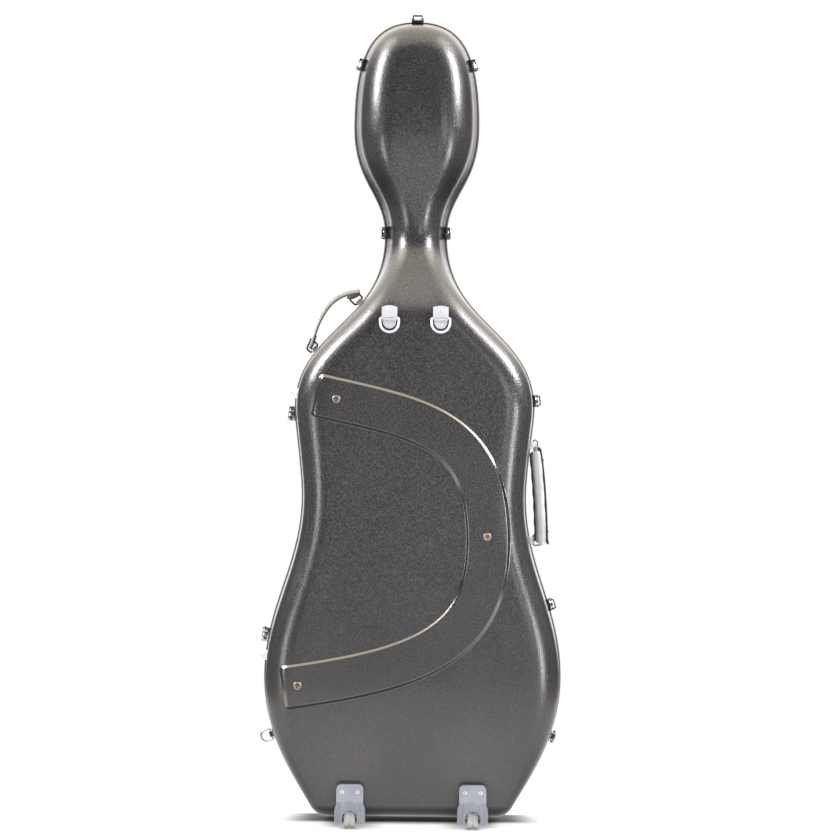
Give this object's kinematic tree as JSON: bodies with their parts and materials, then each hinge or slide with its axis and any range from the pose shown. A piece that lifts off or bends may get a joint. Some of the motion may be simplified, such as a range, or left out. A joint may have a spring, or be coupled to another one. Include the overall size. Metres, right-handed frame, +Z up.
{
  "type": "cello hard case",
  "caption": "Moulded hard case for a full-size cello, standing on wheels and feet, with a hinged lid, draw latches, two padded handles and harness rings",
  "frame": {"origin": "middle of the floor under the case, in its plane of symmetry", "axes": "+Z up the standing case, -Y the back with the wheels, +Y the lid, hinges on the -X side"},
  "size_m": [0.5188, 0.2986, 1.3821],
  "materials": {
    "shell": "fine pebble grain, satin",
    "rim": "satin dark brown",
    "seal": "matte",
    "lining": "plush lining",
    "strap": "woven",
    "nickel": "bright nickel",
    "black_plastic": "satin black",
    "white_plate": "satin near-white",
    "housing": "satin bluish grey",
    "wheel": "smooth grey",
    "foot": "matte",
    "grip": "light grey padded leather with dark brown edges",
    "bumper": "translucent white"
  },
  "bodies": {
    "case_back": {"back_shell": "shell", "back_valance": "rim", "rim_seal": "seal", "back_liner": "lining", "hinge_lower_back_leaf": "nickel", "hinge_lower_pin": "nickel", "hinge_upper_back_leaf": "nickel", "hinge_upper_pin": "nickel", "wheel_housing_left": "housing", "wheel_axle_left": "nickel", "front_foot_left": "foot", "wheel_housing_right": "housing", "wheel_axle_right": "nickel", "front_foot_right": "foot", "back_ring_plate_left": "white_plate", "side_ring_bracket_left": "black_plastic", "back_ring_plate_right": "white_plate", "side_ring_bracket_right": "black_plastic", "side_handle_bracket_lower": "black_plastic", "side_handle_bracket_upper": "black_plastic", "shoulder_handle_bracket_upper": "black_plastic", "shoulder_handle_bracket_lower": "black_plastic", "side_bumper_lower": "bumper", "side_bumper_upper": "bumper", "neck_cradle": "lining", "neck_strap": "strap", "upper_pad": "lining", "endpin_pad": "lining", "accessory_pouch": "lining"},
    "lid": {"lid_shell": "shell", "lid_valance": "rim", "lid_liner": "lining", "hinge_lower_lid_leaf": "nickel", "hinge_upper_lid_leaf": "nickel", "bow_clip_bar": "black_plastic", "bow_tip_pocket": "lining"},
    "latch_top_lever": {"latch_top_lever": "black_plastic"},
    "latch_top_bail": {"latch_top_bail": "nickel"},
    "latch_head_left_lever": {"latch_head_left_lever": "black_plastic"},
    "latch_head_left_bail": {"latch_head_left_bail": "nickel"},
    "latch_head_right_lever": {"latch_head_right_lever": "black_plastic"},
    "latch_head_right_bail": {"latch_head_right_bail": "nickel"},
    "latch_neck_left_lever": {"latch_neck_left_lever": "black_plastic"},
    "latch_neck_left_bail": {"latch_neck_left_bail": "nickel"},
    "latch_neck_right_lever": {"latch_neck_right_lever": "black_plastic"},
    "latch_neck_right_bail": {"latch_neck_right_bail": "nickel"},
    "latch_upper_right_lever": {"latch_upper_right_lever": "black_plastic"},
    "latch_upper_right_bail": {"latch_upper_right_bail": "nickel"},
    "latch_lower_right_lever": {"latch_lower_right_lever": "black_plastic"},
    "latch_lower_right_bail": {"latch_lower_right_bail": "nickel"},
    "wheel_left": {"wheel_left": "wheel"},
    "wheel_right": {"wheel_right": "wheel"},
    "back_d_ring_left": {"back_d_ring_left": "nickel"},
    "side_ring_left": {"side_ring_left": "nickel"},
    "back_d_ring_right": {"back_d_ring_right": "nickel"},
    "side_ring_right": {"side_ring_right": "nickel"},
    "side_handle": {"side_handle": "grip"},
    "shoulder_handle": {"shoulder_handle": "grip"},
    "bow_clip_left": {"bow_clip_left": "black_plastic"},
    "bow_clip_right": {"bow_clip_right": "black_plastic"}
  },
  "joints": [
    {"name": "lid_hinge", "type": "hinge", "parent": "case_back", "child": "lid", "pos_m": [-0.25513, 0.055, 0.31634], "axis": [0.1098, 0, 0.994], "range_deg": [0, 105]},
    {"name": "latch_top_lever_pivot", "type": "hinge", "parent": "case_back", "child": "latch_top_lever", "pos_m": [0, 0.051, 1.377], "axis": [-1, 0, 0.0001], "range_deg": [0, 110]},
    {"name": "latch_top_bail_pivot", "type": "hinge", "parent": "latch_top_lever", "child": "latch_top_bail", "pos_m": [0, 0.045, 1.3778], "axis": [-1, 0, 0.0001], "range_deg": [-110, 0]},
    {"name": "latch_head_left_lever_pivot", "type": "hinge", "parent": "case_back", "child": "latch_head_left_lever", "pos_m": [-0.09933, 0.039, 1.29784], "axis": [-0.2767, 0, -0.961], "range_deg": [0, 110]},
    {"name": "latch_head_left_bail_pivot", "type": "hinge", "parent": "latch_head_left_lever", "child": "latch_head_left_bail", "pos_m": [-0.09908, 0.03295, 1.29777], "axis": [-0.2767, 0, -0.961], "range_deg": [-110, 0]},
    {"name": "latch_head_right_lever_pivot", "type": "hinge", "parent": "case_back", "child": "latch_head_right_lever", "pos_m": [0.09933, 0.039, 1.29784], "axis": [-0.2767, 0, 0.961], "range_deg": [0, 110]},
    {"name": "latch_head_right_bail_pivot", "type": "hinge", "parent": "latch_head_right_lever", "child": "latch_head_right_bail", "pos_m": [0.09908, 0.03295, 1.29777], "axis": [-0.2767, 0, 0.961], "range_deg": [-110, 0]},
    {"name": "latch_neck_left_lever_pivot", "type": "hinge", "parent": "case_back", "child": "latch_neck_left_lever", "pos_m": [-0.05668, 0.039, 1.0079], "axis": [0.0338, 0, -0.9994], "range_deg": [0, 110]},
    {"name": "latch_neck_left_bail_pivot", "type": "hinge", "parent": "latch_neck_left_lever", "child": "latch_neck_left_bail", "pos_m": [-0.05643, 0.03295, 1.00791], "axis": [0.0338, 0, -0.9994], "range_deg": [-110, 0]},
    {"name": "latch_neck_right_lever_pivot", "type": "hinge", "parent": "case_back", "child": "latch_neck_right_lever", "pos_m": [0.05668, 0.039, 1.0079], "axis": [0.0338, 0, 0.9994], "range_deg": [0, 110]},
    {"name": "latch_neck_right_bail_pivot", "type": "hinge", "parent": "latch_neck_right_lever", "child": "latch_neck_right_bail", "pos_m": [0.05643, 0.03295, 1.00791], "axis": [0.0338, 0, 0.9994], "range_deg": [-110, 0]},
    {"name": "latch_upper_right_lever_pivot", "type": "hinge", "parent": "case_back", "child": "latch_upper_right_lever", "pos_m": [0.21077, 0.051, 0.72144], "axis": [-0.0903, 0, 0.9959], "range_deg": [0, 110]},
    {"name": "latch_upper_right_bail_pivot", "type": "hinge", "parent": "latch_upper_right_lever", "child": "latch_upper_right_bail", "pos_m": [0.21157, 0.045, 0.72151], "axis": [-0.0903, 0, 0.9959], "range_deg": [-110, 0]},
    {"name": "latch_lower_right_lever_pivot", "type": "hinge", "parent": "case_back", "child": "latch_lower_right_lever", "pos_m": [0.2386, 0.051, 0.37246], "axis": [-0.2949, 0, 0.9555], "range_deg": [0, 110]},
    {"name": "latch_lower_right_bail_pivot", "type": "hinge", "parent": "latch_lower_right_lever", "child": "latch_lower_right_bail", "pos_m": [0.23937, 0.045, 0.3727], "axis": [-0.2949, 0, 0.9555], "range_deg": [-110, 0]},
    {"name": "wheel_left_spin", "type": "hinge", "parent": "case_back", "child": "wheel_left", "pos_m": [-0.10301, -0.129, 0.02], "axis": [1, 0, 0], "continuous": true},
    {"name": "wheel_right_spin", "type": "hinge", "parent": "case_back", "child": "wheel_right", "pos_m": [0.10301, -0.129, 0.02], "axis": [1, 0, 0], "continuous": true},
    {"name": "back_d_ring_left_swing", "type": "hinge", "parent": "case_back", "child": "back_d_ring_left", "pos_m": [-0.04299, -0.14254, 0.85656], "axis": [-1, 0, 0], "range_deg": [0, 140]},
    {"name": "back_d_ring_right_swing", "type": "hinge", "parent": "case_back", "child": "back_d_ring_right", "pos_m": [0.04299, -0.14254, 0.85656], "axis": [-1, 0, 0], "range_deg": [0, 140]},
    {"name": "side_ring_left_swing", "type": "hinge", "parent": "case_back", "child": "side_ring_left", "pos_m": [-0.2393, -0.022, 0.1498], "axis": [0.327, 0, -0.945], "range_deg": [-80, 80]},
    {"name": "side_ring_right_swing", "type": "hinge", "parent": "case_back", "child": "side_ring_right", "pos_m": [0.2393, -0.022, 0.1498], "axis": [0.327, 0, 0.945], "range_deg": [0, 160]},
    {"name": "side_handle_swing", "type": "hinge", "parent": "case_back", "child": "side_handle", "pos_m": [0.20452, 0.005, 0.48303], "axis": [0.0001, 0, 1], "range_deg": [-28, 28]},
    {"name": "shoulder_handle_swing", "type": "hinge", "parent": "case_back", "child": "shoulder_handle", "pos_m": [-0.096, 0.005, 0.88852], "axis": [-0.6792, 0, -0.7339], "range_deg": [-30, 30]},
    {"name": "bow_clip_left_turn", "type": "hinge", "parent": "lid", "child": "bow_clip_left", "pos_m": [-0.04599, 0.12409, 0.59998], "axis": [0, 1, 0], "range_deg": [-90, 0]},
    {"name": "bow_clip_right_turn", "type": "hinge", "parent": "lid", "child": "bow_clip_right", "pos_m": [0.04599, 0.12409, 0.59998], "axis": [0, 1, 0], "range_deg": [0, 90]}
  ],
  "couplings": [
    {"joint": "latch_top_bail_pivot", "follows": "latch_top_lever_pivot", "ratio": -1},
    {"joint": "latch_head_left_bail_pivot", "follows": "latch_head_left_lever_pivot", "ratio": -1},
    {"joint": "latch_head_right_bail_pivot", "follows": "latch_head_right_lever_pivot", "ratio": -1},
    {"joint": "latch_neck_left_bail_pivot", "follows": "latch_neck_left_lever_pivot", "ratio": -1},
    {"joint": "latch_neck_right_bail_pivot", "follows": "latch_neck_right_lever_pivot", "ratio": -1},
    {"joint": "latch_upper_right_bail_pivot", "follows": "latch_upper_right_lever_pivot", "ratio": -1},
    {"joint": "latch_lower_right_bail_pivot", "follows": "latch_lower_right_lever_pivot", "ratio": -1}
  ]
}
